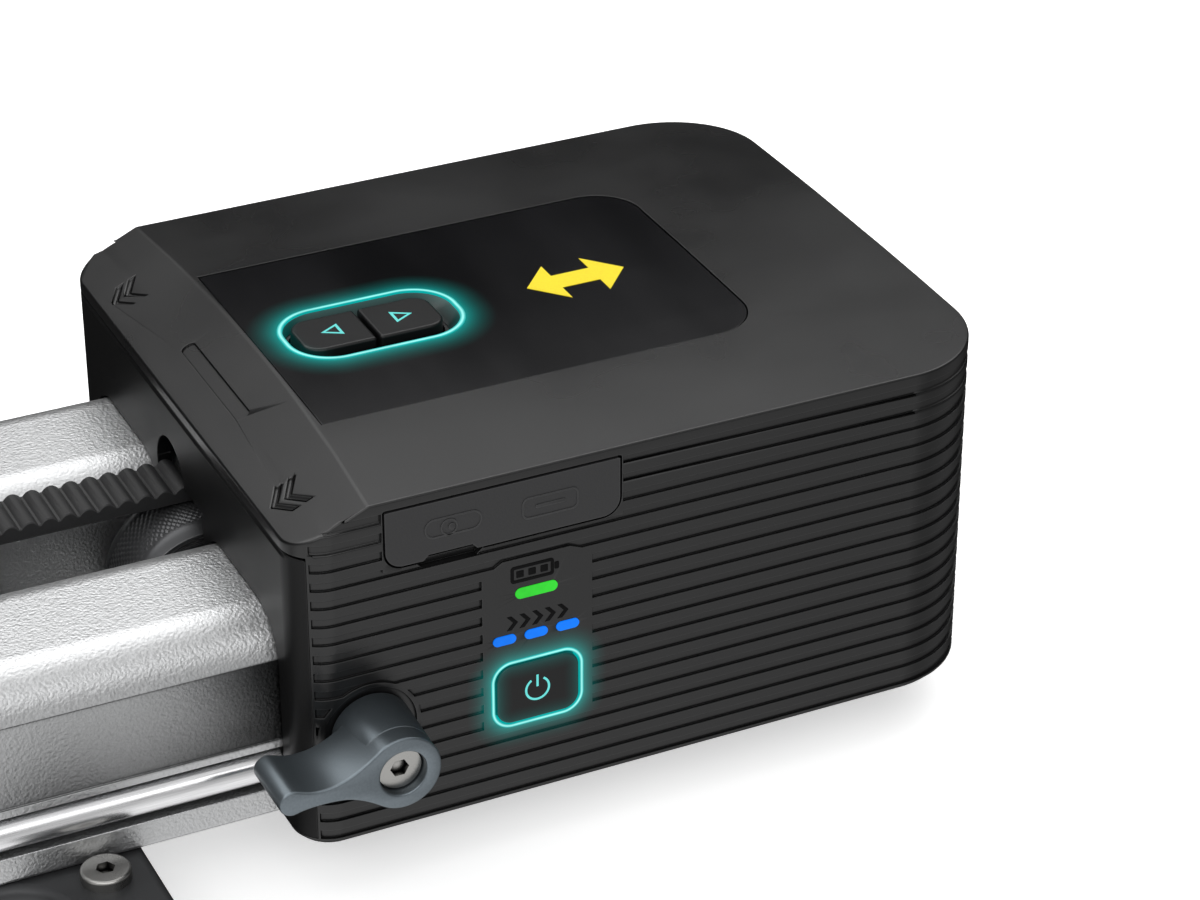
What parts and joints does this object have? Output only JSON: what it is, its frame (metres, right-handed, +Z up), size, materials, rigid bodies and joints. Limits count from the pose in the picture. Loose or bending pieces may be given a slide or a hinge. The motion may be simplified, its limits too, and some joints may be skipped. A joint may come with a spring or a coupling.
{
  "type": "motorised camera slider",
  "caption": "Belt-driven camera slider: twin aluminium rails, carriage with threaded camera stud, drive module with buttons, status lights and clamp lever, feet and tripod plate.",
  "frame": {"origin": "mouth of the central 3/8 inch tripod thread, in the underside of the tripod plate at the middle of the travel", "axes": "+X along the travel towards the drive module, -Y the side with the power button and clamp lever, +Z up"},
  "size_m": [0.6287, 0.132, 0.0665],
  "materials": {
    "shell_plastic": "matt moulded, dark grey",
    "rail_aluminium": "sand-blasted, clear anodised",
    "polished_steel": "ground and polished",
    "screw_steel": "bright zinc plated",
    "bearing_steel": "bright steel",
    "gloss_black": "gloss black",
    "key_plastic": "satin moulded",
    "ring_light": "lit light guide, cyan",
    "green_light": "lit light guide, green",
    "blue_light": "lit light guide, blue",
    "yellow_print": "printed yellow",
    "lever_metal": "blue-grey anodised",
    "belt_rubber": "matt rubber",
    "soft_rubber": "matt rubber",
    "black_anodised": "black anodised",
    "grey_anodised": "grey anodised",
    "wheel_metal": "dark anodised",
    "roller_polymer": "white acetal",
    "motor_metal": "plated steel",
    "board_green": "solder mask",
    "socket_metal": "plated shell",
    "battery_wrap": "shrink wrap",
    "holder_plastic": "moulded",
    "vial_glass": "clear, with green liquid"
  },
  "bodies": {
    "root": {"module_shell": "shell_plastic", "module_end_plate": "shell_plastic", "module_bottom_cover": "shell_plastic", "front_rail": "rail_aluminium", "back_rail": "rail_aluminium", "raceway_rods": "polished_steel", "wheel_axles": "polished_steel", "cover_screws": "screw_steel", "base_screws": "screw_steel", "belt_tension_screw": "screw_steel", "top_panel": "gloss_black", "top_light_ring": "ring_light", "power_light_ring": "ring_light", "power_status_light": "green_light", "speed_lights": "blue_light", "travel_mark": "yellow_print", "toothed_belt": "belt_rubber", "foot_pads": "soft_rubber", "end_block": "black_anodised", "end_cover": "black_anodised", "tripod_plate": "grey_anodised", "foot_drive_end": "grey_anodised", "foot_tail_end": "grey_anodised", "drive_motor": "motor_metal", "gearbox": "motor_metal", "drive_plates": "motor_metal", "control_board": "board_green", "front_board": "board_green", "usb_socket": "socket_metal", "trigger_socket": "socket_metal", "battery_cells": "battery_wrap", "battery_holder": "holder_plastic", "clamp_pad": "holder_plastic"},
    "carriage": {"carriage_plate": "black_anodised", "carriage_side_front": "black_anodised", "carriage_side_back": "black_anodised", "roller_axles": "polished_steel", "roller_bearings": "bearing_steel", "carriage_screws": "screw_steel", "carriage_pad": "soft_rubber", "camera_stud": "screw_steel", "level_housing": "black_anodised", "level_vial": "vial_glass", "belt_clamp": "black_anodised"},
    "front_left_roller": {"roller_front_left": "roller_polymer"},
    "front_right_roller": {"roller_front_right": "roller_polymer"},
    "back_left_roller": {"roller_back_left": "roller_polymer"},
    "back_right_roller": {"roller_back_right": "roller_polymer"},
    "hand_wheel_unit": {"hand_wheel": "wheel_metal", "hand_wheel_bearing": "bearing_steel"},
    "drive_pulley_unit": {"drive_pulley": "wheel_metal", "drive_shaft": "polished_steel"},
    "return_wheel": {"return_pulley": "wheel_metal"},
    "tail_wheel": {"tail_pulley": "wheel_metal"},
    "left_key": {"travel_button_left": "key_plastic"},
    "right_key": {"travel_button_right": "key_plastic"},
    "power_key": {"power_button": "key_plastic"},
    "flap": {"port_flap": "soft_rubber"},
    "lever": {"clamp_lever": "lever_metal", "clamp_screw": "screw_steel"}
  },
  "joints": [
    {"name": "carriage_travel", "type": "slide", "parent": "root", "child": "carriage", "axis": [1, 0, 0], "range_m": [-0.165, 0.165]},
    {"name": "hand_wheel_turn", "type": "hinge", "parent": "root", "child": "hand_wheel_unit", "pos_m": [0.2408, 0, 0.0267], "axis": [0, 1, 0], "range_deg": [-730, 730]},
    {"name": "return_pulley_turn", "type": "hinge", "parent": "root", "child": "return_wheel", "pos_m": [0.306, 0, 0.0267], "axis": [0, 1, 0], "range_deg": [-730, 730]},
    {"name": "tail_pulley_turn", "type": "hinge", "parent": "root", "child": "tail_wheel", "pos_m": [-0.2529, 0, 0.0267], "axis": [0, 1, 0], "range_deg": [-730, 730]},
    {"name": "drive_pulley_turn", "type": "hinge", "parent": "root", "child": "drive_pulley_unit", "pos_m": [0.274, 0, 0.0342], "axis": [0, 1, 0], "range_deg": [-1245, 1245]},
    {"name": "front_left_roller_turn", "type": "hinge", "parent": "carriage", "child": "front_left_roller", "pos_m": [-0.038, -0.0477, 0.016], "axis": [0, 0, 1], "range_deg": [-1260, 1260]},
    {"name": "front_right_roller_turn", "type": "hinge", "parent": "carriage", "child": "front_right_roller", "pos_m": [0.038, -0.0477, 0.016], "axis": [0, 0, 1], "range_deg": [-1260, 1260]},
    {"name": "back_left_roller_turn", "type": "hinge", "parent": "carriage", "child": "back_left_roller", "pos_m": [-0.038, 0.0477, 0.016], "axis": [0, 0, 1], "range_deg": [-1260, 1260]},
    {"name": "back_right_roller_turn", "type": "hinge", "parent": "carriage", "child": "back_right_roller", "pos_m": [0.038, 0.0477, 0.016], "axis": [0, 0, 1], "range_deg": [-1260, 1260]},
    {"name": "left_key_press", "type": "slide", "parent": "root", "child": "left_key", "axis": [0, 0, -1], "range_m": [0, 0.0006], "stiffness_N_per_m": 1000, "springref_m": -0.0005},
    {"name": "right_key_press", "type": "slide", "parent": "root", "child": "right_key", "axis": [0, 0, -1], "range_m": [0, 0.0006], "stiffness_N_per_m": 1000, "springref_m": -0.0005},
    {"name": "power_key_press", "type": "slide", "parent": "root", "child": "power_key", "axis": [0, 1, 0], "range_m": [0, 0.0006], "stiffness_N_per_m": 1000, "springref_m": -0.0005},
    {"name": "flap_open", "type": "hinge", "parent": "root", "child": "flap", "pos_m": [0.27175, -0.048, 0.0597], "axis": [-1, 0, 0], "range_deg": [0, 100]},
    {"name": "lever_turn", "type": "hinge", "parent": "root", "child": "lever", "pos_m": [0.2505, -0.054, 0.0246], "axis": [0, 1, 0], "range_deg": [0, 120]}
  ],
  "couplings": [
    {"joint": "hand_wheel_turn", "follows": "carriage_travel", "rad_per_m": 76.336},
    {"joint": "return_pulley_turn", "follows": "carriage_travel", "rad_per_m": 76.336},
    {"joint": "tail_pulley_turn", "follows": "carriage_travel", "rad_per_m": 76.336},
    {"joint": "drive_pulley_turn", "follows": "carriage_travel", "rad_per_m": -130.89},
    {"joint": "front_left_roller_turn", "follows": "carriage_travel", "rad_per_m": 132.45},
    {"joint": "front_right_roller_turn", "follows": "carriage_travel", "rad_per_m": 132.45},
    {"joint": "back_left_roller_turn", "follows": "carriage_travel", "rad_per_m": -132.45},
    {"joint": "back_right_roller_turn", "follows": "carriage_travel", "rad_per_m": -132.45}
  ]
}
